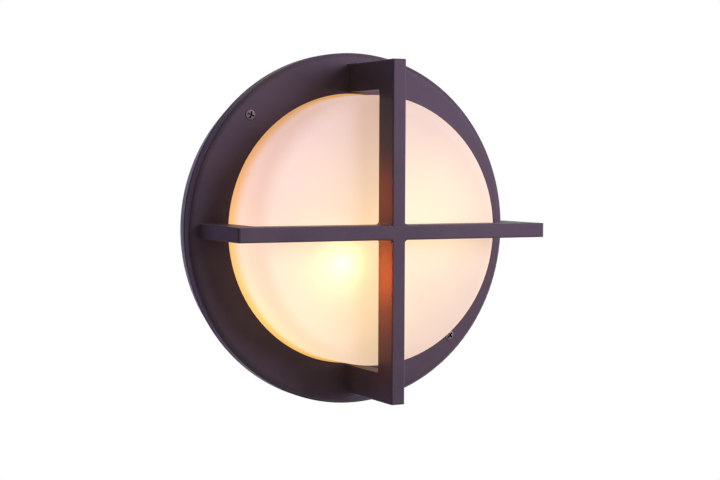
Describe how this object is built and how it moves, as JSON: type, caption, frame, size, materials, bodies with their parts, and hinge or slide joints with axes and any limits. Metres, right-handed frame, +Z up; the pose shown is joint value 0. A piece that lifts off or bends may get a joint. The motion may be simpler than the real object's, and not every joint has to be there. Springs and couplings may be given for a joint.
{
  "type": "bulkhead light",
  "caption": "Round cast wall bulkhead light with a tapered pan, lit frosted glass drum and a flat ring carrying a deep cross guard.",
  "frame": {"origin": "centre of the flat back, on the wall", "axes": "+Z up the wall, +Y into the wall, so the guard faces -Y and +X is to the viewer's right"},
  "size_m": [0.3, 0.1215, 0.3],
  "materials": {
    "bronze_coat": "satin",
    "bronze_screw": "satin",
    "frosted_glass": "satin",
    "zinc_steel": "satin",
    "brass": "satin",
    "porcelain": "gloss",
    "white_enamel": "gloss",
    "opal_lamp": "satin",
    "black_rubber": "matte",
    "grey_foam": "matte",
    "silicone": "satin",
    "brown_insulation": "satin",
    "blue_insulation": "satin",
    "green_insulation": "satin"
  },
  "bodies": {
    "root": {"base_pan": "bronze_coat", "wall_gasket": "grey_foam", "cable_grommet": "black_rubber", "reflector": "white_enamel", "reflector_screws": "zinc_steel", "upper_bracket": "zinc_steel", "lower_bracket": "zinc_steel", "bracket_screws": "zinc_steel", "upper_lampholder": "porcelain", "lower_lampholder": "porcelain", "holder_screws": "zinc_steel", "upper_screw_shell": "brass", "lower_screw_shell": "brass", "upper_centre_contact": "brass", "lower_centre_contact": "brass", "upper_lamp": "opal_lamp", "lower_lamp": "opal_lamp", "terminal_block": "porcelain", "terminal_screws": "brass", "block_screws": "zinc_steel", "earth_tag": "brass", "earth_screw": "brass", "upper_live_lead": "brown_insulation", "upper_neutral_lead": "blue_insulation", "lower_live_lead": "brown_insulation", "lower_neutral_lead": "blue_insulation", "earth_lead": "green_insulation", "rim_gasket": "black_rubber", "glass_diffuser": "frosted_glass", "glass_gasket": "silicone", "glass_clip_right": "zinc_steel", "glass_clip_top": "zinc_steel", "glass_clip_left": "zinc_steel", "glass_clip_bottom": "zinc_steel", "clip_screws": "zinc_steel", "guard_frame": "bronze_coat", "frame_screws": "bronze_screw"}
  },
  "joints": []
}
